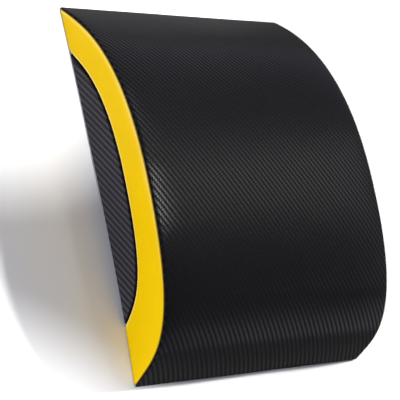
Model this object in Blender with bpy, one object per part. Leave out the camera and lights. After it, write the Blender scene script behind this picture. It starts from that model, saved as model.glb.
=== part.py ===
"""Ab mat: an arched foam block in a sewn vinyl cover, lying on its base.

Metres, +Z up. The origin is on the floor, under the middle of the mat. The steep
hip end is at -Y, the thin shoulder end at +Y, and left is -X. Every piece is laid
out with straight sides first, and then drawn in and crowned by one function.
"""

from math import cos, pi, radians, sin

import bmesh
import bpy
from mathutils import Vector

# Overall size
LENGTH = 0.370
WIDTH = 0.283
CREST_HEIGHT = 0.086
CREST_FROM_HIP = 0.174

# Arch, seen from the side: how steeply it leaves the base at each toe
HIP_ANGLE = radians(77)
SHOULDER_ANGLE = radians(48)
# Pulls of the arch's curve: hip toe and shoulder toe as shares of the rise,
# and the crest's two sides as shares of the run to each toe
ARCH_PULL_SHARES = (0.62, 0.765, 0.68, 0.29)

# Coloured band along the arch on each side, and the seam that bounds it below
BAND_DROP = 0.039
BAND_HIP_FOOT = 0.057
BAND_SHOULDER_FOOT = 0.047
BAND_CREST_SHIFT = 0.011
BAND_HIP_ANGLE = radians(60)
BAND_SHOULDER_ANGLE = radians(25)
BAND_PULL_SHARES = (0.77, 0.71, 0.70, 0.33)

# Crown across the top, and how far the stuffed sides are drawn in
CROWN = 0.002
SHOULDER_INSET = 0.002
BASE_INSET = 0.005
ARRIS_INSET = 0.0005
BOW_POWER = 5 / 2

# Cover: sheet, fold and seams
VINYL = 0.001
FOLD = 0.0005
BASE_THICKNESS = 0.0018
BASE_ROUND = 0.0006
ALLOWANCE = 0.008
CLIPPED_ALLOWANCE = 0.0025
THREAD = 0.0006
STITCH_SHARE = 0.6
STITCH_CORNER = 0.007
FACING_SHARE = 0.3
GAP = 0.0003

# Counts: stations along the arch, strips across the top, and steps of the rounds
STATIONS = 32
STRIPS = 6
FINE_STEPS = 600
CLIPPED_STATIONS = 3
FOLD_STEPS = 2
ROUND_STEPS = 2
CORNER_STEPS = 4
# Where the foot of a band has its points, and what counts as a smooth edge
FOOT_SHARES = (0.2, 0.5, 0.8)
SMOOTH_ANGLE = radians(35)

# Colours as linear red, green, blue, with roughness
TOP_LOOK = ((0.012, 0.012, 0.014), 0.42)
SIDE_LOOK = ((0.035, 0.034, 0.042), 0.45)
BAND_LOOK = ((0.88, 0.56, 0.006), 0.48)
BASE_LOOK = ((0.015, 0.015, 0.016), 0.85)
FOAM_LOOK = ((0.30, 0.31, 0.33), 0.95)
THREAD_LOOK = ((0.02, 0.02, 0.022), 0.7)

# Sizes that follow from those above
HALF_WIDTH = WIDTH / 2
HIP_TOE = -LENGTH / 2
SHOULDER_TOE = LENGTH / 2
ARRIS_HEIGHT = CREST_HEIGHT - CROWN
ROLL = FOLD + VINYL
FLOOR = BASE_THICKNESS + GAP
STITCH_IN = ALLOWANCE * STITCH_SHARE
BAND_TOP = 2 * ROLL + GAP
ARCH_STITCH_DEPTH = BAND_TOP + VINYL + GAP + THREAD / 2
BAND_STITCH_DEPTH = GAP / 2 + VINYL + GAP + THREAD / 2
BASE_STITCH_HEIGHT = FLOOR + VINYL + GAP + THREAD / 2
FOAM_DEPTH = VINYL + GAP
FOAM_REBATE_DEPTH = ARCH_STITCH_DEPTH + THREAD / 2 + GAP
FOAM_REBATE_HEIGHT = BASE_STITCH_HEIGHT + THREAD / 2 + GAP
FOAM_STEP = HALF_WIDTH - ALLOWANCE - GAP
FOAM_TOE = ALLOWANCE + ROLL + STITCH_CORNER
SIDES = (("left", -1), ("right", 1))


def bezier(controls, share):
    """A point of a cubic curve, from its four control points."""
    a, b, c, d = controls
    rest = 1 - share
    return a * rest**3 + b * (3 * rest**2 * share) + c * (3 * rest * share**2) + d * share**3


def arch_stations(hip, hip_angle, crest, shoulder, shoulder_angle, pull_shares):
    """Evenly spaced stations from toe to toe, each a point (y, z) and its outward normal."""
    hip_pull, rising_pull, falling_pull, shoulder_pull = pull_shares
    rise = crest.y - hip.y
    level = Vector((1, 0))
    rising = (
        hip,
        hip + Vector((cos(hip_angle), sin(hip_angle))) * (hip_pull * rise),
        crest - level * (rising_pull * (crest.x - hip.x)),
        crest,
    )
    falling = (
        crest,
        crest + level * (falling_pull * (shoulder.x - crest.x)),
        shoulder + Vector((-cos(shoulder_angle), sin(shoulder_angle))) * (shoulder_pull * rise),
        shoulder,
    )
    fine = [bezier(rising, step / FINE_STEPS) for step in range(FINE_STEPS)]
    fine += [bezier(falling, step / FINE_STEPS) for step in range(FINE_STEPS + 1)]
    travelled = [0.0]
    for before, after in zip(fine, fine[1:]):
        travelled.append(travelled[-1] + (after - before).length)
    stations = []
    place = 0
    for station in range(STATIONS + 1):
        wanted = travelled[-1] * station / STATIONS
        while place < len(fine) - 2 and travelled[place + 1] < wanted:
            place += 1
        run = fine[place + 1] - fine[place]
        along = (wanted - travelled[place]) / run.length
        tangent = run.normalized()
        stations.append((fine[place] + run * along, Vector((-tangent.y, tangent.x))))
    return stations


ARCH = arch_stations(
    Vector((HIP_TOE, FLOOR)),
    HIP_ANGLE,
    Vector((HIP_TOE + CREST_FROM_HIP, ARRIS_HEIGHT)),
    Vector((SHOULDER_TOE, FLOOR)),
    SHOULDER_ANGLE,
    ARCH_PULL_SHARES,
)
BAND_SEAM = arch_stations(
    Vector((HIP_TOE + BAND_HIP_FOOT, FLOOR)),
    BAND_HIP_ANGLE,
    Vector((HIP_TOE + CREST_FROM_HIP + BAND_CREST_SHIFT, ARRIS_HEIGHT - BAND_DROP)),
    Vector((SHOULDER_TOE - BAND_SHOULDER_FOOT, FLOOR)),
    BAND_SHOULDER_ANGLE,
    BAND_PULL_SHARES,
)


def chain(stations, depth, floor):
    """The curve moved inward by depth, its two ends slid along their tangents to the floor."""
    points = [point - normal * depth for point, normal in stations]
    for end in (0, -1):
        normal = stations[end][1]
        tangent = Vector((normal.y, -normal.x))
        points[end] += tangent * ((floor - points[end].y) / tangent.y)
    return points


def clipped(station):
    """The seam allowance at a station: full along the seam, cut back towards the corners."""
    share = min(station, STATIONS - station, CLIPPED_STATIONS) / CLIPPED_STATIONS
    return CLIPPED_ALLOWANCE + (ALLOWANCE - CLIPPED_ALLOWANCE) * share


def drawn(point):
    """Where a point of the straight-sided layout lies on the stuffed mat."""
    along = point.y / LENGTH + 0.5
    end_inset = SHOULDER_INSET * min(max(along, 0), 1)
    bow = max(1 - abs(2 * along - 1) ** BOW_POWER, 0)
    low = end_inset + (BASE_INSET - end_inset) * bow
    high = end_inset + (ARRIS_INSET - end_inset) * bow
    inset = high + (low - high) * (1 - point.z / ARRIS_HEIGHT)
    across = point.x / HALF_WIDTH
    lift = CROWN * (1 - across**2) * max(point.z - FLOOR, 0) / (ARRIS_HEIGHT - FLOOR)
    return Vector((point.x * (1 - inset / HALF_WIDTH), point.y, point.z + lift))


def first_ring(bm, points):
    """A closed ring of vertices and the edges between them."""
    ring = [bm.verts.new(point) for point in points]
    for first, second in zip(ring, ring[1:] + ring[:1]):
        bm.edges.new((first, second))
    return ring


def next_ring(bm, ring, points):
    """Extrudes a ring's edges, and moves each new vertex to its own point."""
    edges = [bm.edges.get(pair) for pair in zip(ring, ring[1:] + ring[:1])]
    grown = set(bmesh.ops.extrude_edge_only(bm, edges=edges)["geom"])
    following = []
    for vert, point in zip(ring, points):
        twin = next(edge.other_vert(vert) for edge in vert.link_edges if edge.other_vert(vert) in grown)
        twin.co = point
        following.append(twin)
    return following


def loft(bm, outlines):
    """Walls through a row of outlines, as the first and the last ring of vertices."""
    first = first_ring(bm, outlines[0])
    last = first
    for points in outlines[1:]:
        last = next_ring(bm, last, points)
    return first, last


def split_ring(ring):
    """A ring's upper chain, the lower chain in the same direction, and the feet between them."""
    upper = ring[: STATIONS + 1]
    foot = (len(ring) - 2 * len(upper)) // 2
    if foot < 0:
        return upper, [ring[0]] + ring[:STATIONS:-1] + [ring[STATIONS]], [], []
    after = STATIONS + 1 + foot
    lower = ring[after : after + len(upper)][::-1]
    return upper, lower, ring[STATIONS + 1 : after], ring[after + len(upper) :]


def cap(bm, ring):
    """Closes a ring with strips, each from an upper station to the lower one beside it."""
    upper, lower, shoulder_foot, hip_foot = split_ring(ring)
    for place in range(STATIONS):
        corners = [upper[place], upper[place + 1], lower[place + 1], lower[place]]
        if place == STATIONS - 1:
            corners[2:2] = shoulder_foot
        if place == 0:
            corners += hip_foot
        bm.faces.new(tuple(dict.fromkeys(corners)))


def finish(name, bm, look):
    """Draws the mesh in, faces it outward and makes it an object with its own material."""
    for vert in bm.verts:
        vert.co = drawn(vert.co)
    bmesh.ops.triangulate(bm, faces=bm.faces)
    bmesh.ops.recalc_face_normals(bm, faces=bm.faces)
    mesh = bpy.data.meshes.new(name)
    bm.to_mesh(mesh)
    bm.free()
    mesh.shade_smooth()
    mesh.set_sharp_from_angle(angle=SMOOTH_ANGLE)
    return place_object(name, mesh, look)


def place_object(name, data, look):
    """Adds a mesh or curve to the scene, with its own material unless it is a cutter."""
    obj = bpy.data.objects.new(name, data)
    bpy.context.scene.collection.objects.link(obj)
    if look is not None:
        colour, roughness = look
        material = bpy.data.materials.new(name)
        material.use_nodes = True
        shader = material.node_tree.nodes["Principled BSDF"]
        shader.inputs["Base Color"].default_value = (*colour, 1)
        shader.inputs["Roughness"].default_value = roughness
        shader.inputs["Metallic"].default_value = 0
        data.materials.append(material)
    return obj


def folded(radius, steps):
    """Points round a fold of the sheet, as (out, depth), at steps counted from its outer side."""
    turns = [step / FOLD_STEPS * pi / 2 for step in steps]
    return [(radius * sin(turn), ROLL - radius * cos(turn)) for turn in turns]


def strips_across():
    """The x of each strip's edge across the top, between the two seam allowances."""
    return [FOAM_STEP * (2 * strip / STRIPS - 1) for strip in range(STRIPS + 1)]


def top_section(allowance):
    """The top panel cut across the mat: (x, depth) points of the sheet and its rolled edges."""
    edge = HALF_WIDTH - ROLL
    right = [(edge + out, depth) for out, depth in folded(ROLL, range(2 * FOLD_STEPS + 1))]
    right += [(HALF_WIDTH - allowance, 2 * ROLL), (HALF_WIDTH - allowance, 2 * ROLL - VINYL)]
    right += [(edge + out, depth) for out, depth in folded(FOLD, (2 * FOLD_STEPS, FOLD_STEPS, 0))]
    left = [(-x, depth) for x, depth in reversed(right)]
    outer = [(x, 0) for x in strips_across()]
    inner = [(x, VINYL) for x in reversed(strips_across())]
    return outer + right + inner + left


def add_toe_allowances(bm):
    """Turns a strip of the sheet's inner face in over the base at both toes."""
    bmesh.ops.bisect_plane(
        bm,
        geom=bm.verts[:] + bm.edges[:] + bm.faces[:],
        plane_co=(0, 0, FLOOR + VINYL),
        plane_no=(0, 0, 1),
    )
    bm.normal_update()
    for end in (-1, 1):
        inside = [
            face
            for face in bm.faces
            if max(vert.co.z for vert in face.verts) < FLOOR + VINYL + GAP / 2
            and max(abs(vert.co.x) for vert in face.verts) < FOAM_STEP + GAP / 2
            and face.calc_center_median().y * end > 0
            and face.normal.y * end < -FACING_SHARE
        ]
        grown = bmesh.ops.extrude_face_region(bm, geom=inside)["geom"]
        verts = [part for part in grown if isinstance(part, bmesh.types.BMVert)]
        bmesh.ops.translate(bm, verts=verts, vec=(0, -end * ALLOWANCE, 0))
        bmesh.ops.delete(bm, geom=inside, context="FACES")


def make_top_panel():
    """The sheet over the arch, its side edges rolled under, its toes turned in."""
    bm = bmesh.new()
    chains = {}
    outlines = []
    for station in range(STATIONS + 1):
        points = []
        for x, depth in top_section(clipped(station)):
            if depth not in chains:
                chains[depth] = chain(ARCH, depth, FLOOR)
            y, z = chains[depth][station]
            points.append((x, y, z))
        outlines.append(points)
    for ring in loft(bm, outlines):
        bm.faces.new(ring)
    bmesh.ops.recalc_face_normals(bm, faces=bm.faces)
    add_toe_allowances(bm)
    finish("top_panel", bm, TOP_LOOK)


def between(first, second):
    """Points on a foot, from the end of one curve to the end of another."""
    return [first.lerp(second, share) for share in FOOT_SHARES]


def band_outline(inset):
    """The band's outline at an inset: arch, shoulder foot, band seam and hip foot."""
    floor = FLOOR + inset
    upper = chain(ARCH, BAND_TOP + inset, floor)
    lower = chain(BAND_SEAM, -GAP / 2 - inset, floor)
    return upper + between(upper[-1], lower[-1]) + lower[::-1] + between(lower[0], upper[0])


def side_outline(inset):
    """The side panel's outline at an inset: the band seam above, the straight base edge below."""
    floor = FLOOR + inset
    upper = chain(BAND_SEAM, GAP / 2 + inset, floor)
    return upper + [Vector((point.x, floor)) for point in upper[-2:0:-1]]


def ring_allowances(count):
    """The seam allowance at each point of a panel's outline."""
    along = [clipped(station) for station in range(STATIONS + 1)]
    if count < 2 * len(along):
        return along + along[1:-1]
    foot = [ALLOWANCE] * len(FOOT_SHARES)
    return along + foot + along + foot


def make_pan(name, outline, sign, look):
    """A flat panel whose edges all turn inward as seam allowances."""
    profile = [(ROLL - out, depth) for out, depth in folded(ROLL, range(FOLD_STEPS + 1))]
    profile += [(0, None), (VINYL, None)]
    profile += [(ROLL - out, depth) for out, depth in folded(FOLD, (FOLD_STEPS, 0))]
    bm = bmesh.new()
    outlines = []
    for inset, depth in profile:
        points = outline(inset)
        placed = []
        for (y, z), allowance in zip(points, ring_allowances(len(points))):
            inward = allowance if depth is None else depth
            placed.append((sign * (HALF_WIDTH - inward), y, z))
        outlines.append(placed)
    for ring in loft(bm, outlines):
        cap(bm, ring)
    finish(name, bm, look)


def foam_outline(depth, underside):
    """The foam cut along the mat: its arch, and its underside raised over the toes' allowances."""
    upper = chain(ARCH, depth, FOAM_REBATE_HEIGHT)
    lower = []
    for point in upper[1:-1]:
        near_toe = min(point.x - HIP_TOE, SHOULDER_TOE - point.x) < FOAM_TOE
        lower.append(Vector((point.x, FOAM_REBATE_HEIGHT if near_toe else underside)))
    return upper + lower[::-1]


def make_foam_core():
    """The foam block, with rebates and slots where the seam allowances press into it."""
    plain = foam_outline(FOAM_DEPTH, FLOOR)
    rebated = foam_outline(FOAM_REBATE_DEPTH, FOAM_REBATE_HEIGHT)
    flank = HALF_WIDTH - VINYL - GAP
    slices = [(-flank, rebated), (-FOAM_STEP, rebated)]
    slices += [(x, plain) for x in strips_across()]
    slices += [(FOAM_STEP, rebated), (flank, rebated)]
    bm = bmesh.new()
    for ring in loft(bm, [[(x, y, z) for y, z in outline] for x, outline in slices]):
        cap(bm, ring)
    foam = finish("foam_core", bm, FOAM_LOOK)
    for side_name, sign in SIDES:
        cutter = make_slot_cutter(f"slot_{side_name}", sign)
        cut = foam.modifiers.new(cutter.name, "BOOLEAN")
        cut.operation = "DIFFERENCE"
        cut.solver = "EXACT"
        cut.object = cutter


def make_slot_cutter(name, sign):
    """The slot in the foam's side that takes the band seam's allowances and thread."""
    above = GAP / 2 + VINYL + GAP
    below = BAND_STITCH_DEPTH + THREAD / 2 + GAP
    upper = chain(BAND_SEAM, -above, 0)
    lower = chain(BAND_SEAM, below, 0)
    ends = (HALF_WIDTH - ALLOWANCE - GAP, HALF_WIDTH + ROLL)
    bm = bmesh.new()
    for ring in loft(bm, [[(sign * x, y, z) for y, z in upper + lower[::-1]] for x in ends]):
        cap(bm, ring)
    cutter = finish(name, bm, None)
    cutter.hide_render = True
    cutter.display_type = "WIRE"
    return cutter


def make_base_panel():
    """The non-slip sheet under the mat, its rim rounded."""
    bm = bmesh.new()
    bmesh.ops.create_grid(bm, x_segments=STRIPS, y_segments=STATIONS, size=0.5)
    bmesh.ops.scale(bm, verts=bm.verts, vec=(WIDTH, LENGTH, 1))
    grown = bmesh.ops.extrude_face_region(bm, geom=bm.faces[:])["geom"]
    verts = [part for part in grown if isinstance(part, bmesh.types.BMVert)]
    bmesh.ops.translate(bm, verts=verts, vec=(0, 0, BASE_THICKNESS))
    bmesh.ops.recalc_face_normals(bm, faces=bm.faces)
    rim = [edge for edge in bm.edges if edge.calc_face_angle(0) > pi / 4]
    bmesh.ops.bevel(
        bm, geom=rim, offset=BASE_ROUND, segments=ROUND_STEPS, profile=0.5, affect="EDGES", material=-1
    )
    finish("base_panel", bm, BASE_LOOK)


def make_thread(name, points, closed):
    """A run of stitching along a seam, as one strand."""
    curve = bpy.data.curves.new(name, "CURVE")
    curve.dimensions = "3D"
    curve.bevel_depth = THREAD / 2
    curve.bevel_resolution = 1
    curve.use_fill_caps = not closed
    spline = curve.splines.new("POLY")
    spline.points.add(len(points) - 1)
    for place, point in zip(spline.points, points):
        place.co = (*drawn(Vector(point)), 1)
    spline.use_cyclic_u = closed
    place_object(name, curve, THREAD_LOOK)


def seam_run(stations, depth, sign):
    """A stitch line on one side, along a curve, stopping short of both toes."""
    x = sign * (HALF_WIDTH - STITCH_IN)
    return [(x, *(point - normal * depth)) for point, normal in stations[1:-1]]


def base_run():
    """The stitch line of the base seam: round the mat, just inside its rim."""
    x = HALF_WIDTH - STITCH_IN - STITCH_CORNER
    y = SHOULDER_TOE - STITCH_IN - STITCH_CORNER
    points = []
    for turn, (across, along) in enumerate(((1, 1), (-1, 1), (-1, -1), (1, -1))):
        for step in range(CORNER_STEPS + 1):
            angle = (turn + step / CORNER_STEPS) * pi / 2
            out = Vector((cos(angle), sin(angle))) * STITCH_CORNER
            points.append((across * x + out.x, along * y + out.y, BASE_STITCH_HEIGHT))
        if across != along:
            side_x = points[-1][0]
            for step in range(1, STATIONS):
                points.append((side_x, along * y * (1 - 2 * step / STATIONS), BASE_STITCH_HEIGHT))
    return points


def main():
    for obj in list(bpy.data.objects):
        bpy.data.objects.remove(obj)
    make_foam_core()
    make_top_panel()
    make_base_panel()
    make_thread("base_seam_thread", base_run(), True)
    for side_name, sign in SIDES:
        make_pan(f"band_{side_name}", band_outline, sign, BAND_LOOK)
        make_pan(f"side_panel_{side_name}", side_outline, sign, SIDE_LOOK)
        make_thread(f"arch_seam_thread_{side_name}", seam_run(ARCH, ARCH_STITCH_DEPTH, sign), False)
        make_thread(f"band_seam_thread_{side_name}", seam_run(BAND_SEAM, BAND_STITCH_DEPTH, sign), False)


main()
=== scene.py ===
"""Ab mat: the sewn vinyl cover over its foam block, dressed for a studio picture.

Metres, +Z up. The steep hip end is at -Y, the thin shoulder end at +Y, and left is -X.
Each cover panel is a sheet laid on the mat's own curves, stuffed from inside by a short
cloth simulation, and turned in along its seams.
"""

from collections import namedtuple
from math import atan, cos, pi, radians, sin

import bmesh
import bpy
from bpy.props import FloatProperty, FloatVectorProperty, PointerProperty
from bpy.types import Operator, Panel, PropertyGroup
from mathutils import Matrix, Vector, noise


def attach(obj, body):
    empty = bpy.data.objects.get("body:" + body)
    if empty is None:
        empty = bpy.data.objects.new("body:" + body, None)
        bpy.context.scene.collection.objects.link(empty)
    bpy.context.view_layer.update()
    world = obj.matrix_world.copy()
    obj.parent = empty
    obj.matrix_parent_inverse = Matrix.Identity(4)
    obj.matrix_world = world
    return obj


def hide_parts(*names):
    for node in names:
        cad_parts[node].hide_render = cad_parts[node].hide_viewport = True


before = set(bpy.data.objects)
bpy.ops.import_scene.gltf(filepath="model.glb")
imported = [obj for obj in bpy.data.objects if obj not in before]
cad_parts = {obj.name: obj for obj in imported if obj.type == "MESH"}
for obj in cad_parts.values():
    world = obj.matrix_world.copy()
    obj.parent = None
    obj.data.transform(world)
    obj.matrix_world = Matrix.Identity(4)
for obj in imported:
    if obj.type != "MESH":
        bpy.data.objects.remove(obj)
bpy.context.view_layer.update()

bl_info = {
    "name": "Ab Mat",
    "version": (1, 0, 0),
    "blender": (4, 5, 0),
    "location": "3D View > Sidebar > Ab Mat",
    "description": "Dresses an ab mat: foam block, sewn vinyl cover and studio stage",
    "category": "Object",
}

SIDES = (("left", -1), ("right", 1))

# The arch and the band seam, seen from the side: how steeply each leaves its two ends,
# and the pulls of its curve as shares of the rise and of the run to each end
HIP_ANGLE = radians(77)
SHOULDER_ANGLE = radians(48)
ARCH_PULL_SHARES = (0.62, 0.765, 0.68, 0.29)
BAND_HIP_ANGLE = radians(60)
BAND_SHOULDER_ANGLE = radians(25)
BAND_PULL_SHARES = (0.77, 0.71, 0.70, 0.33)
BAND_CREST_SHIFT = 0.011
FINE_STEPS = 2000

# How square the mat's waist is from end to end, and its crown from side to side
BOW_POWER = 5 / 2
CROWN_POWER = 12

# How far the sides stand in: at the shoulder toe, along the floor and along the arch
SHOULDER_INSET = 0.002
BASE_INSET = 0.005
ARRIS_INSET = 0.0005

# The gap between neighbouring panels, and how close two points are that are one
GAP = 0.0003
SAME_POINT = GAP / 100

# How far the seam between band and side panel gapes
CREASE = 0.001

# How high the mat's lowest edges stand, and how far they are tucked up under the foam
FOOT_CLEARANCE = 0.0004
TUCK_UP = 0.004

# The hip toe spreads on the floor under the mat's weight: how far, and up to what height
TOE_SPREAD = 0.0024
SPREAD_HEIGHT = 0.025

# How far from a toe the side seam of the top gets flatter, and by what share at the toe
TAPER_LENGTH = 0.045
TOE_TAPER = 0.65

# Faces of each sheet, across and along, and of a rim for each quarter turn
TOP_FACES = (70, 108)
BAND_FACES = (10, 128)
SIDE_FACES = (14, 96)
BASE_FACES = (24, 64)
FOLD_STEPS = 2

# The foam's and the base sheet's edges are drawn sharp where they bend by more than this
SHARP_ANGLE = radians(35)

# The cover as a simulated cloth, pressed outward from inside
SIMULATED_FRAMES = 20
CLOTH = {
    "quality": 6,
    "mass": 0.3,
    "tension_stiffness": 60,
    "compression_stiffness": 60,
    "shear_stiffness": 40,
    "bending_stiffness": 3,
    "tension_damping": 20,
    "compression_damping": 20,
    "shear_damping": 20,
    "air_damping": 4,
    "use_pressure": True,
    "uniform_pressure_force": 4,
}

# The cover's unevenness, as pairs of a size and a height, and how far from a seam it is full
UNEVENNESS = ((0.09, 0.0005), (0.028, 0.00012))
FREE_OF_SEAM = 0.03

# A two-by-two twill: each thread passes over two others, and the pattern repeats after four
THREADS_OVER = 2.0
THREADS_REPEAT = 4.0

# How round a thread is across itself, and how square along itself, to where it dives under
THREAD_ROUNDNESS = 2.0
THREAD_SQUARENESS = 6.0

# Each embossed twill: how wide its lengthwise and its crossing threads are, how far they stand
# up, how rough they are, and how wide the groove's painted shade is at the lower and at the
# upper seam, where the vinyl also turns rough
Twill = namedtuple("Twill", "cells relief crossing_roughness lengthwise_roughness grooves")
TOP_TWILL = Twill(
    cells=(0.00142, 0.00212),
    relief=0.00003,
    crossing_roughness=0.6,
    lengthwise_roughness=0.16,
    grooves=(0.0006, 0.0006),
)
SIDE_TWILL = Twill(
    cells=(0.00208, 0.00177),
    relief=0.00006,
    crossing_roughness=0.66,
    lengthwise_roughness=0.3,
    grooves=(0.0014, 0.0035),
)

# The twill's painted shade: how dark it is at the bottom of a seam's groove, and how dark
# between two threads and how light on a thread, as painted shade and light by the relief
TWILL_GROOVE_SHADE = 0.05
THREAD_SHADES = (0.45, 1.25)

# The band: how dark and how wide the painted shade in its two seam grooves is, and how long a
# stitch is
BAND_GROOVE_SHADE = 0.2
BAND_GROOVES = (0.0008, 0.0012)
STITCH = 0.0028

# Its two edges are painted paler: the lower one where the stitches stretch the skin, with a
# painted highlight along its rolled edge, and the upper one as a painted highlight where it
# turns up to the light. How far from the edge fully, and how far at all
LOWER_STRETCH_AND_HIGHLIGHT = (0.0012, 0.0040)
UPPER_HIGHLIGHT = (0.0010, 0.0070)

# How pale the lower edge is between two stitches, and the upper painted highlight at its palest
BETWEEN_STITCHES = 0.15
UPPER_HIGHLIGHT_MOST = 0.4

# Where along the mat the upper edge's painted highlight begins, towards the shoulder end, and
# where it is full
UPPER_HIGHLIGHT_FROM = -0.12
UPPER_HIGHLIGHT_FULLY = 0.02

# Patterns of the materials, as how many of them lie in a metre: clouds of 56 and 40 mm,
# pebbles of 0.7 mm, dots 4 mm apart and bubbles of 1.1 mm
TWILL_CLOUDS = 18.0
BAND_CLOUDS = 25.0
PEBBLES = 1400.0
DOTS = 250.0
BUBBLES = 900.0

# The scale of a wave whose bands lie 1.3 mm apart, as the thread's strands are drawn
THREAD_LAY = 500.0

# The paper floor: how far it reaches, and its white as the lamps meet it and as it is seen
FLOOR_HALF = 4
FLOOR_LIT = 0.14
FLOOR_SEEN = 0.97

# The room's light: its colour low down and overhead, and how far up it is all the second,
# with one soft glow that the top cover mirrors as its broad sheen
ROOM_LOW = (0.36, 0.355, 0.43, 1)
ROOM_HIGH = (0.012, 0.012, 0.018, 1)
ROOM_TURN = 0.75
GLOW = (0.8, 0.79, 0.79)
GLOW_TIGHTNESS = 56.0
GLOW_DIRECTION = Vector((0.63, 0.25, 0.735)).normalized()
BACKGROUND_WHITE = (1, 1, 1, 1)

# The sun from the right, which throws the shadow to the left. It shines at the origin.
SUN_PLACE = (1.42, 0.48, 1.0)
SUN_ENERGY = 4.5
SUN_ANGLE = radians(4)

# Two lamps overhead keep the floor white past the mat's two ends, and the shadow ends at the
# rims of their round pools: the place of each along X and Y, and its radius on the floor
POOL_HEIGHT = 2.0
POOL_ENERGY = 135
POOL_SIZE = 0.04
POOL_BLEND = 0.02
POOLS = (("shoulder_pool", -0.25, 0.45, 0.445), ("hip_pool", -0.512, -0.662, 0.6))

# The soft cards round the mat, which all face its middle. The first lights the left side, and
# the vinyl doesn't mirror it. The next three give the glints beside the arch seam, and the
# last three faint sheens at the far side, the hip end and the right. Energies are in watts.
MAT_MIDDLE = (0, 0, 0.04)
Card = namedtuple("Card", "name place energy colour width height")
CARDS = (
    Card("side_softbox", (-1.4, -0.12, 0.24), 17.2, (0.95, 0.98, 1.1), 0.4, 1.2),
    Card("glint_softbox", (0.36, 0.20, 1.25), 1.25, (1, 1, 1), 0.16, 0.32),
    Card("seam_softbox", (0.40, 0.707, 1.05), 0.36, (1, 1, 1), 0.16, 0.6),
    Card("edge_softbox", (0.0, 0.27, 1.3), 0.7, (1, 1, 1), 0.3, 0.32),
    Card("back_card", (1.26, 0.36, 1.5), 0.18, (1, 1, 1), 0.5, 0.5),
    Card("hip_card", (1.6, -1.35, 0.5), 0.8, (1, 1, 1.1), 1.0, 1.0),
    Card("right_card", (1.6, 0.0, 1.2), 0.5, (1, 1, 1), 0.35, 1.6),
)
MATT_CARD = "side_softbox"

# The camera's place and turn, found from the mat's outline
CAMERA_LENS = 133.55
CAMERA_SENSOR = 36
CAMERA_PLACE = (-0.94029, -0.33519, 1.0844)
CAMERA_TURN = (radians(22.1839), radians(-36.691), radians(-14.9992))


def linear(hex_colour):
    """An sRGB hex colour as linear red, green and blue."""
    channels = [int(hex_colour[place : place + 2], 16) / 255 for place in (1, 3, 5)]
    return tuple(c / 12.92 if c <= 0.04045 else ((c + 0.055) / 1.055) ** 2.4 for c in channels)


def length_property(name, description, default):
    """A size in metres, for a property group."""
    return FloatProperty(name=name, description=description, default=default, min=0, unit="LENGTH")


def colour_property(name, description, hex_colour):
    """A colour, for a property group."""
    return FloatVectorProperty(
        name=name, description=description, default=linear(hex_colour), min=0, max=1, subtype="COLOR"
    )


class AbMatSizes(PropertyGroup):
    """Sizes of the mat and of its cover."""

    length: length_property("Length", "From the hip toe to the shoulder toe", 0.370)
    width: length_property("Width", "Across the mat at the arch", 0.283)
    height: length_property("Height", "From the floor to the crest of the arch", 0.086)
    crest: length_property("Crest", "How far the crest lies from the hip toe", 0.174)
    crown: length_property("Crown", "How far the middle of the top stands above its edges", 0.002)
    band_drop: length_property("Band drop", "From the arch down to the band's lower seam", 0.039)
    hip_foot: length_property("Hip foot", "How long the band's foot is at the hip end", 0.057)
    shoulder_foot: length_property("Shoulder foot", "How long it is at the shoulder end", 0.047)
    sheet: length_property("Sheet", "Thickness of the cover's vinyl", 0.001)
    fold: length_property("Fold", "Inner radius of a turned edge", 0.0005)
    allowance: length_property("Allowance", "Seam allowance turned in along each seam", 0.008)
    base_thickness: length_property("Base", "Thickness of the non-slip base sheet", 0.0018)
    top_swell: length_property("Top swell", "Most that the stuffing lifts the top cover", 0.0016)
    side_swell: length_property("Side swell", "Most that it pushes out a side or band", 0.001)


class AbMatColours(PropertyGroup):
    """Colours of the mat's materials."""

    top: colour_property("Top", "Black vinyl of the top", "#040405")
    rib: colour_property("Top rib", "Lighter threads of the top's twill", "#18181A")
    side: colour_property("Side", "Dark grey vinyl of the sides", "#272527")
    side_rib: colour_property("Side rib", "Lighter threads of the sides' twill", "#4A474A")
    band: colour_property("Band", "Yellow vinyl of the bands", "#F4C600")
    # The band's edge colour is partly stretched skin at the stitches and partly a painted highlight on the
    # turned edges
    band_edge_highlight: colour_property("Band edge", "Its turned edges, stretched paler", "#FFF0A0")
    base: colour_property("Base", "Non-slip sheet under the mat", "#1B1B1C")
    foam: colour_property("Foam", "Foam block", "#8E9092")
    thread: colour_property("Thread", "Sewing thread", "#161617")


def bezier(controls, share):
    """A point of a cubic curve, from its four control points."""
    a, b, c, d = controls
    rest = 1 - share
    return a * rest**3 + b * (3 * rest**2 * share) + c * (3 * rest * share**2) + d * share**3


def curve_over(hip, hip_angle, crest, shoulder, shoulder_angle, pull_shares):
    """Fine points (y, z) of a curve over the mat, from its hip end to its shoulder end."""
    hip_pull, rising_pull, falling_pull, shoulder_pull = pull_shares
    rise = crest.y - hip.y
    level = Vector((1, 0))
    rising = (
        hip,
        hip + Vector((cos(hip_angle), sin(hip_angle))) * (hip_pull * rise),
        crest - level * (rising_pull * (crest.x - hip.x)),
        crest,
    )
    falling = (
        crest,
        crest + level * (falling_pull * (shoulder.x - crest.x)),
        shoulder + Vector((-cos(shoulder_angle), sin(shoulder_angle))) * (shoulder_pull * rise),
        shoulder,
    )
    fine = [bezier(rising, step / FINE_STEPS) for step in range(FINE_STEPS)]
    return fine + [bezier(falling, step / FINE_STEPS) for step in range(FINE_STEPS + 1)]


def stations_on(fine, count):
    """Evenly spaced stations along a fine curve: (point, outward normal, distance travelled)."""
    travelled = [0.0]
    for before, after in zip(fine, fine[1:]):
        travelled.append(travelled[-1] + (after - before).length)
    stations = []
    place = 0
    for station in range(count + 1):
        wanted = travelled[-1] * station / count
        while place < len(fine) - 2 and travelled[place + 1] < wanted:
            place += 1
        run = fine[place + 1] - fine[place]
        tangent = run.normalized()
        point = fine[place] + tangent * (wanted - travelled[place])
        stations.append((point, Vector((-tangent.y, tangent.x)), wanted))
    return stations


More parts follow.
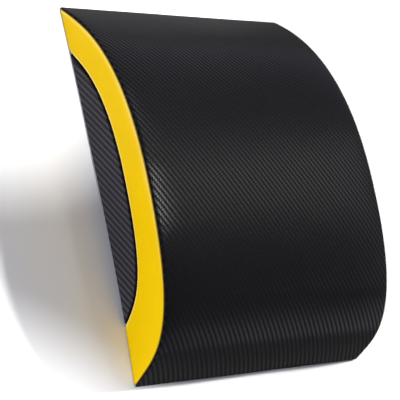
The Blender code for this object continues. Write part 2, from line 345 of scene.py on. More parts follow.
def chain(stations, depth, floor, tapered_depth=0.0):
    """A curve moved inward, its two ends slid along their tangents to the floor.

    The tapered depth is added to the other one, and shrinks towards the two toes.
    """
    whole = stations[-1][2]
    points = []
    for point, normal, travelled in stations:
        from_toe = min(travelled, whole - travelled) / TAPER_LENGTH
        share = 1 - TOE_TAPER * max(1 - from_toe, 0) ** 2
        points.append(point - normal * (depth + tapered_depth * share))
    for end in (0, -1):
        normal = stations[end][1]
        tangent = Vector((normal.y, -normal.x))
        points[end] += tangent * ((floor - points[end].y) / tangent.y)
    return points


class Layout:
    """The mat's curves and levels, worked out from its sizes."""

    def __init__(self, sizes):
        self.sizes = sizes
        self.half_width = sizes.width / 2
        self.floor = sizes.base_thickness + GAP
        self.arris_height = sizes.height - sizes.crown
        self.roll = sizes.fold + sizes.sheet
        self.band_top = 2 * self.roll + GAP
        hip = -sizes.length / 2
        shoulder = sizes.length / 2
        self.arch = curve_over(
            Vector((hip, self.floor)),
            HIP_ANGLE,
            Vector((hip + sizes.crest, self.arris_height)),
            Vector((shoulder, self.floor)),
            SHOULDER_ANGLE,
            ARCH_PULL_SHARES,
        )
        self.band_seam = curve_over(
            Vector((hip + sizes.hip_foot, self.floor)),
            BAND_HIP_ANGLE,
            Vector((hip + sizes.crest + BAND_CREST_SHIFT, self.arris_height - sizes.band_drop)),
            Vector((shoulder - sizes.shoulder_foot, self.floor)),
            BAND_SHOULDER_ANGLE,
            BAND_PULL_SHARES,
        )

    def drawn(self, point):
        """Where a point of the straight-sided layout lies on the stuffed mat."""
        along = point.y / self.sizes.length + 0.5
        end_inset = SHOULDER_INSET * min(max(along, 0), 1)
        bow = max(1 - abs(2 * along - 1) ** BOW_POWER, 0)
        low = end_inset + (BASE_INSET - end_inset) * bow
        high = end_inset + (ARRIS_INSET - end_inset) * bow
        inset = high + (low - high) * (1 - point.z / self.arris_height)
        across = abs(point.x / self.half_width)
        rise = max(point.z - self.floor, 0) / (self.arris_height - self.floor)
        lift = self.sizes.crown * (1 - across**CROWN_POWER) * rise
        spread = TOE_SPREAD * max(1 - point.z / SPREAD_HEIGHT, 0) ** 2 * min(max(1 - 2 * along, 0), 1)
        return Vector((point.x * (1 - inset / self.half_width), point.y - spread, point.z + lift))


class Sheet:
    """One panel of the cover, as faces across and along, before it is turned in."""

    def __init__(self, layout, faces, outward):
        self.layout = layout
        self.across, self.along = faces
        self.outward = outward

    def rows(self, inset, depth):
        """The panel's points (x, y, z) and their places on the cloth, at an inset and a depth."""
        raise NotImplementedError

    def at_foot(self, row, step):
        """Whether a point of the rim stands on the floor, as those at the two ends do."""
        return row in (0, self.along) and 0 < step < self.across


class TopSheet(Sheet):
    """The sheet over the arch: across is left to right, along is hip to shoulder."""

    def __init__(self, layout, faces):
        super().__init__(layout, faces, Vector((0, 0, 1)))

    def rows(self, inset, depth):
        stations = stations_on(self.layout.arch, self.along)
        line = chain(stations, depth, FOOT_CLEARANCE + inset)
        seam_line = chain(stations, 0, FOOT_CLEARANCE + inset, depth)
        edge = self.layout.half_width - inset
        made = []
        for inner, seam, (_, _, travelled) in zip(line, seam_line, stations):
            row = []
            for step in range(self.across + 1):
                x = edge * (2 * step / self.across - 1)
                y, z = seam if step in (0, self.across) else inner
                row.append((Vector((x, y, z)), (x, travelled)))
            made.append(row)
        return made


class SideSheet(Sheet):
    """A panel on one side: across is its lower edge to its upper one, along is hip to shoulder."""

    def __init__(self, layout, faces, sign):
        super().__init__(layout, faces, Vector((sign, 0, 0)))
        self.sign = sign

    def edges(self, inset):
        """The panel's lower and upper points (y, z) at each row."""
        raise NotImplementedError

    def rows(self, inset, depth):
        x = self.sign * (self.layout.half_width - depth)
        made = []
        for low, high in self.edges(inset):
            row = []
            for step in range(self.across + 1):
                y, z = low.lerp(high, step / self.across)
                row.append((Vector((x, y, z)), (-self.sign * y, z)))
            made.append(row)
        return made


class BandSheet(SideSheet):
    """The coloured band between the arch and the band seam."""

    def edges(self, inset):
        floor = FOOT_CLEARANCE + inset
        layout = self.layout
        arch = stations_on(layout.arch, self.along)
        seam = stations_on(layout.band_seam, self.along)
        return zip(chain(seam, -GAP / 2 - inset, floor), chain(arch, inset, floor, layout.band_top))


class LowerSideSheet(SideSheet):
    """The panel under the band seam, down to the floor."""

    def edges(self, inset):
        floor = FOOT_CLEARANCE + inset
        seam = stations_on(self.layout.band_seam, self.along)
        return [(Vector((high.x, floor)), high) for high in chain(seam, CREASE + inset, floor)]

    def at_foot(self, row, step):
        """Whether a point of the rim stands on the floor, as the whole lower edge does."""
        return step == 0 and 0 < row < self.along


def add_piece(name, bm, material):
    """Makes a bmesh a smooth object of the scene."""
    mesh = bpy.data.meshes.new(name)
    bm.to_mesh(mesh)
    bm.free()
    mesh.shade_smooth()
    mesh.materials.append(material)
    piece = bpy.data.objects.new(name, mesh)
    bpy.context.scene.collection.objects.link(piece)
    return piece


def laid(sheet):
    """A grid of faces laid where the sheet's rows are, with its map in metres of cloth.

    Its points keep their step and row, and how far they are from both edges and along them.
    """
    bm = bmesh.new()
    bmesh.ops.create_grid(bm, x_segments=sheet.across, y_segments=sheet.along, size=0.5)
    rows = sheet.rows(sheet.layout.roll, 0)
    step_layer = bm.verts.layers.int.new("step")
    row_layer = bm.verts.layers.int.new("row")
    from_low = bm.verts.layers.float.new("from_low")
    from_high = bm.verts.layers.float.new("from_high")
    along_seam = bm.verts.layers.float.new("along_seam")
    walked = [(0.0, 0.0)]
    for before, after in zip(rows, rows[1:]):
        low, high = ((after[end][0] - before[end][0]).length for end in (0, -1))
        walked.append((walked[-1][0] + low, walked[-1][1] + high))
    cloth = {}
    for vert in bm.verts:
        step = round((vert.co.x + 0.5) * sheet.across)
        row = round((vert.co.y + 0.5) * sheet.along)
        point, place = rows[row][step]
        vert[step_layer] = step
        vert[row_layer] = row
        vert[from_low] = sheet.layout.roll + (point - rows[row][0][0]).length
        vert[from_high] = sheet.layout.roll + (point - rows[row][-1][0]).length
        low, high = walked[row]
        vert[along_seam] = low + (high - low) * step / sheet.across
        vert.co = sheet.layout.drawn(point)
        cloth[vert] = place
    uv = bm.loops.layers.uv.new("UVMap")
    for face in bm.faces:
        for loop in face.loops:
            loop[uv].uv = cloth[loop.vert]
    # A side panel comes to a point at both ends, where its corners are one
    bmesh.ops.remove_doubles(bm, verts=bm.verts, dist=SAME_POINT)
    bm.normal_update()
    middle = bm.faces[:][len(bm.faces) // 2]
    if middle.normal.dot(sheet.outward) < 0:
        bmesh.ops.reverse_faces(bm, faces=bm.faces)
    return bm


def stuffed(piece, swell):
    """Presses the sheet outward from inside by cloth simulation, its rim held, up to a swell."""
    mesh = piece.data
    rim = piece.vertex_groups.new(name="rim")
    bm = bmesh.new()
    bm.from_mesh(mesh)
    rim.add([vert.index for vert in bm.verts if vert.is_boundary], 1, "REPLACE")
    bm.free()
    cloth = piece.modifiers.new("Stuffing", "CLOTH")
    settings = cloth.settings
    for setting, value in CLOTH.items():
        setattr(settings, setting, value)
    settings.vertex_group_mass = rim.name
    settings.effector_weights.gravity = 0
    cloth.collision_settings.use_collision = False
    cloth.point_cache.frame_end = SIMULATED_FRAMES
    scene = bpy.context.scene
    for step in range(1, SIMULATED_FRAMES + 1):
        scene.frame_set(step)
    view = bpy.context.evaluated_depsgraph_get()
    swollen = [vert.co.copy() for vert in piece.evaluated_get(view).data.vertices]
    piece.modifiers.remove(cloth)
    piece.vertex_groups.remove(rim)
    scene.frame_set(1)
    furthest = max((after - vert.co).length for vert, after in zip(mesh.vertices, swollen))
    print(f"{piece.name}: simulated swell {furthest * 1000:.2f} mm")
    share = swell / max(furthest, swell)
    for vert, after in zip(mesh.vertices, swollen):
        vert.co = vert.co.lerp(after, share)


def uneven(piece):
    """Makes the sheet lie a little uneven over the foam, but not along its seams."""
    bm = bmesh.new()
    bm.from_mesh(piece.data)
    bm.normal_update()
    edges = (bm.verts.layers.float["from_low"], bm.verts.layers.float["from_high"])
    for vert in bm.verts:
        free = min(min(vert[edge] for edge in edges) / FREE_OF_SEAM, 1)
        lift = sum(noise.noise(vert.co / size) * height for size, height in UNEVENNESS)
        vert.co += vert.normal * (lift * free)
    bm.to_mesh(piece.data)
    bm.free()


def turned_in(piece, sheet):
    """Turns the sheet's rim in along its seams, and gives the sheet its thickness.

    The top's rim rolls through half a turn, so that its allowance lies under it. The rim of a
    side panel rolls through a quarter turn, so that its allowance runs into the mat.
    """
    layout = sheet.layout
    roll = layout.roll
    allowance = layout.sizes.allowance
    if isinstance(sheet, TopSheet):
        quarter_turns, seam_end = 2, (allowance, 2 * roll)
    else:
        quarter_turns, seam_end = 1, (0, allowance)
    turns = [turn * pi / 2 / FOLD_STEPS for turn in range(1, quarter_turns * FOLD_STEPS + 1)]
    folds = [(roll - roll * sin(turn), roll - roll * cos(turn)) for turn in turns]
    rings = [(fold, fold) for fold in folds] + [(seam_end, (TUCK_UP, 2 * roll))]
    bm = bmesh.new()
    bm.from_mesh(piece.data)
    step_layer = bm.verts.layers.int["step"]
    row_layer = bm.verts.layers.int["row"]
    from_low = bm.verts.layers.float["from_low"]
    from_high = bm.verts.layers.float["from_high"]
    rim = [edge for edge in bm.edges if edge.is_boundary]
    for at_seam, at_foot in rings:
        seam_rows = sheet.rows(*at_seam)
        foot_rows = sheet.rows(*at_foot)
        grown = bmesh.ops.extrude_edge_only(bm, edges=rim)["geom"]
        for vert in grown:
            if isinstance(vert, bmesh.types.BMVert):
                row, step = vert[row_layer], vert[step_layer]
                source = foot_rows if sheet.at_foot(row, step) else seam_rows
                point, _ = source[row][step]
                vert.co = layout.drawn(point)
                for edge_step, away in ((0, from_low), (sheet.across, from_high)):
                    if step == edge_step:
                        vert[away] = at_seam[0]
        rim = [edge for edge in grown if isinstance(edge, bmesh.types.BMEdge) and edge.is_boundary]
    bmesh.ops.remove_doubles(bm, verts=bm.verts, dist=SAME_POINT)
    bm.to_mesh(piece.data)
    bm.free()
    piece.data.shade_smooth()
    finer = piece.modifiers.new("Finer", "SUBSURF")
    finer.levels = 1
    finer.render_levels = 1
    thick = piece.modifiers.new("Sheet", "SOLIDIFY")
    thick.thickness = layout.sizes.sheet
    thick.offset = -1


def make_cover(name, sheet, material, swell, node):
    """Lays, stuffs and turns in one panel of the cover, and puts it in the place of its node."""
    piece = add_piece(name, laid(sheet), material)
    stuffed(piece, swell)
    uneven(piece)
    turned_in(piece, sheet)
    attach(piece, "root")
    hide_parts(node)


def add_node(tree, kind, inputs=None, **settings):
    """Adds a node with its settings and inputs.

    An input given as a node is linked to that node's first output, one given as a socket is
    linked to it, and any other is set. Only the sockets that the settings leave open count.
    """
    node = tree.nodes.new(kind)
    for name, value in settings.items():
        setattr(node, name, value)
    sockets = [socket for socket in node.inputs if socket.enabled]
    for name, value in (inputs or {}).items():
        socket = sockets[name] if isinstance(name, int) else next(s for s in sockets if s.name == name)
        if isinstance(value, bpy.types.Node):
            value = next(output for output in value.outputs if output.enabled)
        if isinstance(value, bpy.types.NodeSocket):
            tree.links.new(value, socket)
        else:
            socket.default_value = value
    return node


def blank_material(name):
    """A material with only its shader, as (material, tree, shader)."""
    material = bpy.data.materials.new(name)
    material.use_nodes = True
    tree = material.node_tree
    return material, tree, tree.nodes["Principled BSDF"]


def woven(tree, cells):
    """A twill on the cloth's map: its height, and where the lengthwise threads show."""
    cloth = add_node(tree, "ShaderNodeTexCoord").outputs["UV"]
    split = add_node(tree, "ShaderNodeSeparateXYZ", {0: cloth})
    across = add_node(tree, "ShaderNodeMath", {0: split.outputs[0], 1: cells[0]}, operation="DIVIDE")
    along = add_node(tree, "ShaderNodeMath", {0: split.outputs[1], 1: cells[1]}, operation="DIVIDE")
    column = add_node(tree, "ShaderNodeMath", {0: across}, operation="FLOOR")
    row = add_node(tree, "ShaderNodeMath", {0: along}, operation="FLOOR")
    in_column = add_node(tree, "ShaderNodeMath", {0: across, 1: column}, operation="SUBTRACT")
    in_row = add_node(tree, "ShaderNodeMath", {0: along, 1: row}, operation="SUBTRACT")

    # Where each place lies in the repeat, which climbs by one thread from row to row
    climb = add_node(tree, "ShaderNodeMath", {0: column, 1: row}, operation="ADD")
    phase = add_node(tree, "ShaderNodeMath", {0: climb, 1: THREADS_REPEAT}, operation="FLOORED_MODULO")
    lengthwise = add_node(tree, "ShaderNodeMath", {0: phase, 1: THREADS_OVER - 0.5}, operation="LESS_THAN")

    # How far along its run over the others each thread is
    risen = add_node(tree, "ShaderNodeMath", {0: phase, 1: in_row}, operation="ADD")
    long_run = add_node(tree, "ShaderNodeMath", {0: risen, 1: 1 / THREADS_OVER}, operation="MULTIPLY")
    left = add_node(tree, "ShaderNodeMath", {0: phase, 1: THREADS_OVER}, operation="SUBTRACT")
    passed = add_node(tree, "ShaderNodeMath", {0: left, 1: in_column}, operation="ADD")
    cross_run = add_node(tree, "ShaderNodeMath", {0: passed, 1: 1 / THREADS_OVER}, operation="MULTIPLY")

    def rounded(place, power):
        """1 in the middle of a place from 0 to 1, falling to 0 at both its ends."""
        twice = add_node(tree, "ShaderNodeMath", {0: place, 1: 2.0}, operation="MULTIPLY")
        centred = add_node(tree, "ShaderNodeMath", {0: twice, 1: 1.0}, operation="SUBTRACT")
        away = add_node(tree, "ShaderNodeMath", {0: centred}, operation="ABSOLUTE")
        fall = add_node(tree, "ShaderNodeMath", {0: away, 1: power}, operation="POWER")
        return add_node(tree, "ShaderNodeMath", {0: 1.0, 1: fall}, operation="SUBTRACT")

    heights = []
    for place, run in ((in_row, cross_run), (in_column, long_run)):
        shape = {0: rounded(place, THREAD_ROUNDNESS), 1: rounded(run, THREAD_SQUARENESS)}
        heights.append(add_node(tree, "ShaderNodeMath", shape, operation="MULTIPLY"))
    crossing, lying = heights
    height = add_node(tree, "ShaderNodeMix", {"Factor": lengthwise, "A": crossing, "B": lying})
    return height, lengthwise


def seam_shade(tree, grooves, darkest):
    """How dark the vinyl is painted beside its lower and upper seam, as painted shade where the
    groove keeps light out.
    """
    shades = []
    for edge, width in zip(("from_low", "from_high"), grooves):
        away = add_node(tree, "ShaderNodeAttribute", attribute_name=edge).outputs["Fac"]
        shades.append(
            add_node(
                tree,
                "ShaderNodeMapRange",
                {"Value": away, "From Max": width, "To Min": darkest, "To Max": 1.0},
                interpolation_type="SMOOTHSTEP",
            )
        )
    return add_node(tree, "ShaderNodeMath", dict(enumerate(shades)), operation="MULTIPLY")


def edge_share(tree, edge, near, far):
    """1 closer to an edge than the near distance, falling to 0 at the far one."""
    away = add_node(tree, "ShaderNodeAttribute", attribute_name=edge).outputs["Fac"]
    return add_node(
        tree,
        "ShaderNodeMapRange",
        {"Value": away, "From Min": near, "From Max": far, "To Min": 1.0, "To Max": 0.0},
        interpolation_type="SMOOTHSTEP",
    )


def stitch_pulls(tree):
    """Where the stitches pull the edge in: 1 in the middle of each stitch, 0 between two."""
    along = add_node(tree, "ShaderNodeAttribute", attribute_name="along_seam").outputs["Fac"]
    turn = add_node(tree, "ShaderNodeMath", {0: along, 1: 2 * pi / STITCH}, operation="MULTIPLY")
    wave = add_node(tree, "ShaderNodeMath", {0: turn}, operation="COSINE")
    return add_node(tree, "ShaderNodeMath", {0: wave, 1: 0.5, 2: 0.5}, operation="MULTIPLY_ADD")


def twill_vinyl(name, ground, rib, twill):
    """Vinyl embossed with a twill: a calendered PVC skin pressed on a roller, semi-gloss.

    The roller's fine grooves cross in the two sets of threads, so one set is glossier from
    each side. The eye gets slanting ribs, which glint where they turn towards a light. Its
    colour holds painted shade and light: darker between two threads and lighter on a
    thread's crest, and darker in the grooves beside its seams.
    """
    material, tree, shader = blank_material(name)
    height, lengthwise = woven(tree, twill.cells)
    place = add_node(tree, "ShaderNodeTexCoord").outputs["Object"]
    cloud = add_node(tree, "ShaderNodeTexNoise", {"Vector": place, "Scale": TWILL_CLOUDS, "Detail": 3.0})
    cloudy = add_node(
        tree, "ShaderNodeMapRange", {"Value": cloud.outputs["Fac"], "To Min": 0.85, "To Max": 1.15}
    )
    shown = add_node(
        tree, "ShaderNodeMix", {"Factor": lengthwise, "A": (*ground, 1), "B": (*rib, 1)}, data_type="RGBA"
    )
    # Painted shade in the grooves beside both seams, where the vinyl also turns rough
    out_of_groove_shade = seam_shade(tree, twill.grooves, TWILL_GROOVE_SHADE)
    # Painted shade between two threads and painted light on a thread's crest, by the relief
    low, high = THREAD_SHADES
    relief_shade = add_node(tree, "ShaderNodeMix", {"Factor": height, "A": low, "B": high})
    clouds_and_painted_shade = add_node(tree, "ShaderNodeMath", {0: cloudy, 1: out_of_groove_shade}, operation="MULTIPLY")
    clouds_and_painted_shade = add_node(tree, "ShaderNodeMath", {0: clouds_and_painted_shade, 1: relief_shade}, operation="MULTIPLY")
    tinted = add_node(tree, "ShaderNodeVectorMath", {0: shown, "Scale": clouds_and_painted_shade}, operation="SCALE")
    tree.links.new(tinted.outputs[0], shader.inputs["Base Color"])
    thread_roughness = add_node(
        tree,
        "ShaderNodeMix",
        {"Factor": lengthwise, "A": twill.crossing_roughness, "B": twill.lengthwise_roughness},
    )
    rough = add_node(tree, "ShaderNodeMix", {"Factor": out_of_groove_shade, "A": 1.0, "B": thread_roughness})
    tree.links.new(rough.outputs[0], shader.inputs["Roughness"])
    bump = add_node(tree, "ShaderNodeBump", {"Height": height, "Distance": twill.relief, "Strength": 1.0})
    tree.links.new(bump.outputs[0], shader.inputs["Normal"])
    return material


def grained_vinyl(name, colour, highlight_colour):
    """Plain upholstery vinyl: PVC on a knit backing, calendered with a fine leather grain, satin.

    The eye gets a clean strong colour, a soft sheen and a faint pebble of 0.7 mm close by. Its
    colour is painted paler along its two edges: at each stitch of the lower seam, where the
    stitches stretch the skin, with a painted highlight along that rolled edge, and in patches
    along the upper one towards the shoulder end, as a painted highlight where it turns up to
    the light. Beside both seams it holds painted shade.
    """
    material, tree, shader = blank_material(name)
    place = add_node(tree, "ShaderNodeTexCoord").outputs["Object"]
    cloud = add_node(tree, "ShaderNodeTexNoise", {"Vector": place, "Scale": BAND_CLOUDS, "Detail": 4.0})
    cloud = cloud.outputs["Fac"]
    cloudy = add_node(tree, "ShaderNodeMapRange", {"Value": cloud, "To Min": 0.94, "To Max": 1.06})

    # Paler at each stitch of the lower edge, where the stitches stretch the skin, and a painted highlight
    # along that rolled edge
    pull = add_node(tree, "ShaderNodeMix", {"Factor": stitch_pulls(tree), "A": BETWEEN_STITCHES, "B": 1.0})
    lower = edge_share(tree, "from_low", *LOWER_STRETCH_AND_HIGHLIGHT)
    lower = add_node(tree, "ShaderNodeMath", {0: lower, 1: pull}, operation="MULTIPLY")
    # Painted highlight in patches along the upper edge, towards the shoulder end, where it turns up to the
    # light
    highlight_patches = add_node(tree, "ShaderNodeMix", {"Factor": cloud, "A": 0.0, "B": UPPER_HIGHLIGHT_MOST})
    along = add_node(tree, "ShaderNodeSeparateXYZ", {0: place}).outputs[1]
    upper_highlight_along = add_node(
        tree, "ShaderNodeMapRange", {"Value": along, "From Min": UPPER_HIGHLIGHT_FROM, "From Max": UPPER_HIGHLIGHT_FULLY}
    )
    upper = edge_share(tree, "from_high", *UPPER_HIGHLIGHT)
    upper = add_node(tree, "ShaderNodeMath", {0: upper, 1: highlight_patches}, operation="MULTIPLY")
    upper = add_node(tree, "ShaderNodeMath", {0: upper, 1: upper_highlight_along}, operation="MULTIPLY")
    stretch_and_highlight = add_node(tree, "ShaderNodeMath", {0: lower, 1: upper}, operation="MAXIMUM")

    shown = add_node(
        tree,
        "ShaderNodeMix",
        {"Factor": stretch_and_highlight, "A": (*colour, 1), "B": (*highlight_colour, 1)},
        data_type="RGBA",
    )
    # Painted shade in the grooves beside both seams
    out_of_groove_shade = seam_shade(tree, BAND_GROOVES, BAND_GROOVE_SHADE)
    clouds_and_painted_shade = add_node(tree, "ShaderNodeMath", {0: cloudy, 1: out_of_groove_shade}, operation="MULTIPLY")
    tinted = add_node(tree, "ShaderNodeVectorMath", {0: shown, "Scale": clouds_and_painted_shade}, operation="SCALE")
    tree.links.new(tinted.outputs[0], shader.inputs["Base Color"])
    pebbles = add_node(
        tree,
        "ShaderNodeTexVoronoi",
        {"Vector": place, "Scale": PEBBLES, "Smoothness": 0.6},
        feature="SMOOTH_F1",
    ).outputs["Distance"]
    bump = add_node(tree, "ShaderNodeBump", {"Height": pebbles, "Distance": 0.00006, "Strength": 0.7})
    tree.links.new(bump.outputs[0], shader.inputs["Normal"])
    shader.inputs["Roughness"].default_value = 0.38
    return material


def tint_and_raise(tree, shader, colour, pattern, shades, relief, strength):
    """Shades a colour by a pattern, between two shades, and raises the pattern as relief."""
    low, high = shades
    shade = add_node(tree, "ShaderNodeMapRange", {"Value": pattern, "To Min": low, "To Max": high})
    tinted = add_node(tree, "ShaderNodeVectorMath", {0: (*colour,), "Scale": shade}, operation="SCALE")
    tree.links.new(tinted.outputs[0], shader.inputs["Base Color"])
    bump = add_node(tree, "ShaderNodeBump", {"Height": pattern, "Distance": relief, "Strength": strength})
    tree.links.new(bump.outputs[0], shader.inputs["Normal"])


def non_slip(name, colour):
    """Non-slip sheet: knit cloth coated with soft PVC, matte.

    Its dots, 4 mm apart, are raised in the mould. The eye gets a dull sheet with paler dots.
    """
    material, tree, shader = blank_material(name)
    place = add_node(tree, "ShaderNodeTexCoord").outputs["Object"]
    dots = add_node(
        tree,
        "ShaderNodeTexVoronoi",
        {"Vector": place, "Scale": DOTS, "Randomness": 0.0},
        voronoi_dimensions="2D",
    ).outputs["Distance"]
    raised = add_node(
        tree,
        "ShaderNodeMapRange",
        {"Value": dots, "From Min": 0.3, "From Max": 0.38, "To Min": 1.0, "To Max": 0.0},
        interpolation_type="SMOOTHSTEP",
    )
    tint_and_raise(tree, shader, colour, raised, shades=(0.85, 1.5), relief=0.0004, strength=1.0)
    shader.inputs["Roughness"].default_value = 0.8
    return material


def closed_cell_foam(name, colour):
    """Closed-cell foam: cut from a moulded bun, so that fine bubbles of 1.1 mm lie open, matte.

    The eye gets a soft grey face, speckled all over by the bubbles.
    """
    material, tree, shader = blank_material(name)
    place = add_node(tree, "ShaderNodeTexCoord").outputs["Object"]
    bubbles = add_node(tree, "ShaderNodeTexVoronoi", {"Vector": place, "Scale": BUBBLES}).outputs["Distance"]
    tint_and_raise(tree, shader, colour, bubbles, shades=(1.08, 0.8), relief=0.0003, strength=0.8)
    shader.inputs["Roughness"].default_value = 0.95
    return material


def bonded_thread(name, colour):
    """Bonded polyester thread: three twisted strands under a thin resin coat.

    The eye gets slanting turns, drawn 1.3 mm apart, and a faint sheen.
    """
    material, tree, shader = blank_material(name)
    place = add_node(tree, "ShaderNodeTexCoord").outputs["Object"]
    lay = add_node(
        tree, "ShaderNodeTexWave", {"Vector": place, "Scale": THREAD_LAY}, bands_direction="DIAGONAL"
    ).outputs["Fac"]
    tint_and_raise(tree, shader, colour, lay, shades=(0.7, 1.3), relief=0.0001, strength=0.8)
    shader.inputs["Roughness"].default_value = 0.55
    return material


def matt_paper(name):
    """Matt paper from a studio roll: uncoated, so without any gloss.

    The eye gets a clean white ground. The lamps meet a darker one, which throws little light
    back up at the mat.
    """
    material, tree, shader = blank_material(name)
    seen = add_node(tree, "ShaderNodeLightPath").outputs["Is Camera Ray"]
    paper = add_node(tree, "ShaderNodeMix", {"Factor": seen, "A": FLOOR_LIT, "B": FLOOR_SEEN})
    tree.links.new(paper.outputs[0], shader.inputs["Base Color"])
    shader.inputs["Roughness"].default_value = 1.0
    shader.inputs["Specular IOR Level"].default_value = 0.0
    return material


def studio_room(name):
    """The world: a dim room that is brighter low down, with one glow, on a white background."""
    world = bpy.data.worlds.new(name)
    world.use_nodes = True
    tree = world.node_tree
    tree.nodes.clear()
    seen = add_node(tree, "ShaderNodeLightPath").outputs["Is Camera Ray"]
    place = add_node(tree, "ShaderNodeTexCoord").outputs["Generated"]
    up = add_node(tree, "ShaderNodeSeparateXYZ", {0: place}).outputs[2]
    facing = add_node(tree, "ShaderNodeVectorMath", {0: place, 1: GLOW_DIRECTION}, operation="DOT_PRODUCT")
    ahead = add_node(tree, "ShaderNodeMath", {0: facing, 1: 0.0}, operation="MAXIMUM")
    spot = add_node(tree, "ShaderNodeMath", {0: ahead, 1: GLOW_TIGHTNESS}, operation="POWER")
    glow = add_node(tree, "ShaderNodeVectorMath", {0: GLOW, "Scale": spot}, operation="SCALE")
    share = add_node(tree, "ShaderNodeMapRange", {"Value": up, "From Max": ROOM_TURN})
    room = add_node(
        tree, "ShaderNodeMix", {"Factor": share, "A": ROOM_LOW, "B": ROOM_HIGH}, data_type="RGBA"
    )
    room = add_node(tree, "ShaderNodeVectorMath", {0: room, 1: glow}, operation="ADD")
    shown = add_node(
        tree, "ShaderNodeMix", {"Factor": seen, "A": room, "B": BACKGROUND_WHITE}, data_type="RGBA"
    )
    sky = add_node(tree, "ShaderNodeBackground", {"Color": shown})
    add_node(tree, "ShaderNodeOutputWorld", {"Surface": sky})
    return world


def add_lamp(name, kind, place, target, **settings):
    """Adds a lamp at its place, turned to its target, with its height along the mat."""
    data = bpy.data.lights.new(name, kind)
    for setting, value in settings.items():
        setattr(data, setting, value)
    lamp = bpy.data.objects.new(name, data)
    bpy.context.scene.collection.objects.link(lamp)
    lamp.location = place
    back = (Vector(place) - Vector(target)).normalized()
    along = (Vector((0, 1, 0)) - back * back.y).normalized()
    lamp.rotation_euler = Matrix((along.cross(back), along, back)).transposed().to_euler()
    return lamp


def add_lamps():
    """Adds the sun, the two pools of light and the soft cards."""
    sun = add_lamp("key", "SUN", SUN_PLACE, (0, 0, 0), energy=SUN_ENERGY, angle=SUN_ANGLE)
    sun.visible_glossy = False
    # A glossy path that meets so small a sun by chance would show as a single white dot
    sun.data.cycles.use_multiple_importance_sampling = False
    for name, x, y, radius in POOLS:
        pool = add_lamp(
            name,
            "SPOT",
            (x, y, POOL_HEIGHT),
            (x, y, 0),
            energy=POOL_ENERGY,
            spot_size=2 * atan(radius / POOL_HEIGHT),
            spot_blend=POOL_BLEND,
            shadow_soft_size=POOL_SIZE,
        )
        pool.visible_glossy = False
    for card in CARDS:
        lamp = add_lamp(
            card.name,
            "AREA",
            card.place,
            MAT_MIDDLE,
            energy=card.energy,
            color=card.colour,
            shape="RECTANGLE",
            size=card.width,
            size_y=card.height,
        )
        lamp.visible_glossy = card.name != MATT_CARD


def add_camera():
    """Adds the camera, looking at the mat from above and from its left."""
    camera = bpy.data.objects.new("camera", bpy.data.cameras.new("camera"))
    bpy.context.scene.collection.objects.link(camera)
    camera.data.lens = CAMERA_LENS
    camera.data.sensor_width = CAMERA_SENSOR
    camera.location = CAMERA_PLACE
    camera.rotation_euler = CAMERA_TURN
    return camera


class ABMAT_OT_foam_block(Operator):
    """Makes the foam block inside the cover"""

    bl_idname = "ab_mat.foam_block"
    bl_label = "Foam block"

    def execute(self, context):
        bm = bmesh.new()
        bm.from_mesh(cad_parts["foam_core"].data)
        bmesh.ops.remove_doubles(bm, verts=bm.verts, dist=SAME_POINT)
        foam = closed_cell_foam("closed_cell_foam", context.scene.ab_mat_colours.foam)
        piece = add_piece("foam_block", bm, foam)
        piece.data.set_sharp_from_angle(angle=SHARP_ANGLE)
        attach(piece, "root")
        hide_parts("foam_core")
        return {"FINISHED"}


class ABMAT_OT_top_cover(Operator):
    """Lays the black top cover over the arch"""

    bl_idname = "ab_mat.top_cover"
    bl_label = "Top cover"

    def execute(self, context):
        sizes, colours = context.scene.ab_mat_sizes, context.scene.ab_mat_colours
        vinyl = twill_vinyl("twill_vinyl_black", colours.top, colours.rib, TOP_TWILL)
        sheet = TopSheet(Layout(sizes), TOP_FACES)
        make_cover("top_cover", sheet, vinyl, sizes.top_swell, "top_panel")
        return {"FINISHED"}


class ABMAT_OT_band_covers(Operator):
    """Lays the yellow band on each side"""

    bl_idname = "ab_mat.band_covers"
    bl_label = "Bands"

    def execute(self, context):
        sizes, colours = context.scene.ab_mat_sizes, context.scene.ab_mat_colours
        vinyl = grained_vinyl("grained_vinyl_yellow", colours.band, colours.band_edge_highlight)
        for side, sign in SIDES:
            sheet = BandSheet(Layout(sizes), BAND_FACES, sign)
            swell = sizes.side_swell
            make_cover(f"band_cover_{side}", sheet, vinyl, swell, f"band_{side}")
        return {"FINISHED"}


class ABMAT_OT_side_covers(Operator):
    """Lays the dark panel under the band on each side"""

    bl_idname = "ab_mat.side_covers"
    bl_label = "Side covers"

    def execute(self, context):
        sizes, colours = context.scene.ab_mat_sizes, context.scene.ab_mat_colours
        vinyl = twill_vinyl("twill_vinyl_grey", colours.side, colours.side_rib, SIDE_TWILL)
        for side, sign in SIDES:
            sheet = LowerSideSheet(Layout(sizes), SIDE_FACES, sign)
            swell = sizes.side_swell
            make_cover(f"side_cover_{side}", sheet, vinyl, swell, f"side_panel_{side}")
        return {"FINISHED"}


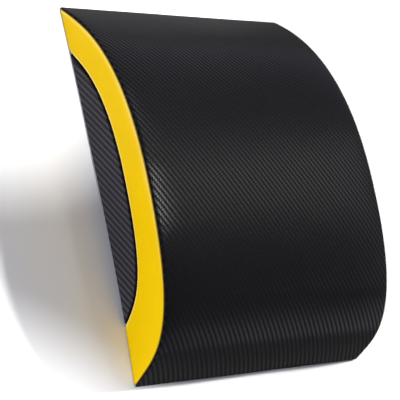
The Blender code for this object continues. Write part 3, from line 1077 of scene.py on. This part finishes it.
class ABMAT_OT_base_sheet(Operator):
    """Makes the non-slip sheet that the mat lies on"""

    bl_idname = "ab_mat.base_sheet"
    bl_label = "Base sheet"

    def execute(self, context):
        sizes = context.scene.ab_mat_sizes
        layout = Layout(sizes)
        inset = layout.band_top
        flat = (sizes.width - 2 * inset, sizes.length - 2 * inset, 1)
        across, along = BASE_FACES
        bm = bmesh.new()
        bmesh.ops.create_grid(bm, x_segments=across, y_segments=along, size=0.5)
        bmesh.ops.scale(bm, verts=bm.verts, vec=flat)
        grown = bmesh.ops.extrude_face_region(bm, geom=bm.faces[:])["geom"]
        verts = [part for part in grown if isinstance(part, bmesh.types.BMVert)]
        bmesh.ops.translate(bm, verts=verts, vec=(0, 0, sizes.base_thickness))
        bmesh.ops.recalc_face_normals(bm, faces=bm.faces)
        rim = [edge for edge in bm.edges if edge.calc_face_angle(0) > pi / 4]
        bmesh.ops.bevel(
            bm, geom=rim, offset=sizes.fold, segments=2, profile=0.5, affect="EDGES", material=-1
        )
        for vert in bm.verts:
            vert.co = layout.drawn(vert.co)
        coated = non_slip("non_slip_sheet", context.scene.ab_mat_colours.base)
        piece = add_piece("base_sheet", bm, coated)
        piece.data.set_sharp_from_angle(angle=SHARP_ANGLE)
        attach(piece, "root")
        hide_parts("base_panel")
        return {"FINISHED"}


class ABMAT_OT_threads(Operator):
    """Gives the strands of stitching the finish of bonded thread"""

    bl_idname = "ab_mat.threads"
    bl_label = "Threads"

    def execute(self, context):
        thread = bonded_thread("bonded_thread", context.scene.ab_mat_colours.thread)
        for name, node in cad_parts.items():
            if "thread" in name:
                node.data.materials.clear()
                node.data.materials.append(thread)
        return {"FINISHED"}


class ABMAT_OT_stage(Operator):
    """Makes the floor, the lights and the camera"""

    bl_idname = "ab_mat.stage"
    bl_label = "Stage"

    def execute(self, context):
        scene = context.scene
        bm = bmesh.new()
        bmesh.ops.create_grid(bm, x_segments=1, y_segments=1, size=FLOOR_HALF)
        floor = add_piece("floor", bm, matt_paper("matt_paper_floor"))
        scene.world = studio_room("studio")
        add_lamps()
        scene.camera = add_camera()
        scene.view_settings.view_transform = "Standard"
        return {"FINISHED"}


class ABMAT_PT_panel(Panel):
    """Lists the mat's sizes, colours and pieces"""

    bl_label = "Ab Mat"
    bl_idname = "ABMAT_PT_panel"
    bl_space_type = "VIEW_3D"
    bl_region_type = "UI"
    bl_category = "Ab Mat"

    def draw(self, context):
        for group in (context.scene.ab_mat_sizes, context.scene.ab_mat_colours):
            box = self.layout.box()
            for name in group.__annotations__:
                box.prop(group, name)
        for operator in OPERATORS:
            self.layout.operator(operator.bl_idname)


OPERATORS = (
    ABMAT_OT_foam_block,
    ABMAT_OT_top_cover,
    ABMAT_OT_band_covers,
    ABMAT_OT_side_covers,
    ABMAT_OT_base_sheet,
    ABMAT_OT_threads,
    ABMAT_OT_stage,
)
CLASSES = (AbMatSizes, AbMatColours, *OPERATORS, ABMAT_PT_panel)


def register():
    for cls in CLASSES:
        bpy.utils.register_class(cls)
    bpy.types.Scene.ab_mat_sizes = PointerProperty(type=AbMatSizes)
    bpy.types.Scene.ab_mat_colours = PointerProperty(type=AbMatColours)


def unregister():
    del bpy.types.Scene.ab_mat_colours
    del bpy.types.Scene.ab_mat_sizes
    for cls in reversed(CLASSES):
        bpy.utils.unregister_class(cls)


def main():
    """Registers the add-on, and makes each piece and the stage."""
    register()
    bpy.ops.ab_mat.foam_block()
    bpy.ops.ab_mat.top_cover()
    bpy.ops.ab_mat.band_covers()
    bpy.ops.ab_mat.side_covers()
    bpy.ops.ab_mat.base_sheet()
    bpy.ops.ab_mat.threads()
    bpy.ops.ab_mat.stage()


if __name__ == "__main__":
    main()
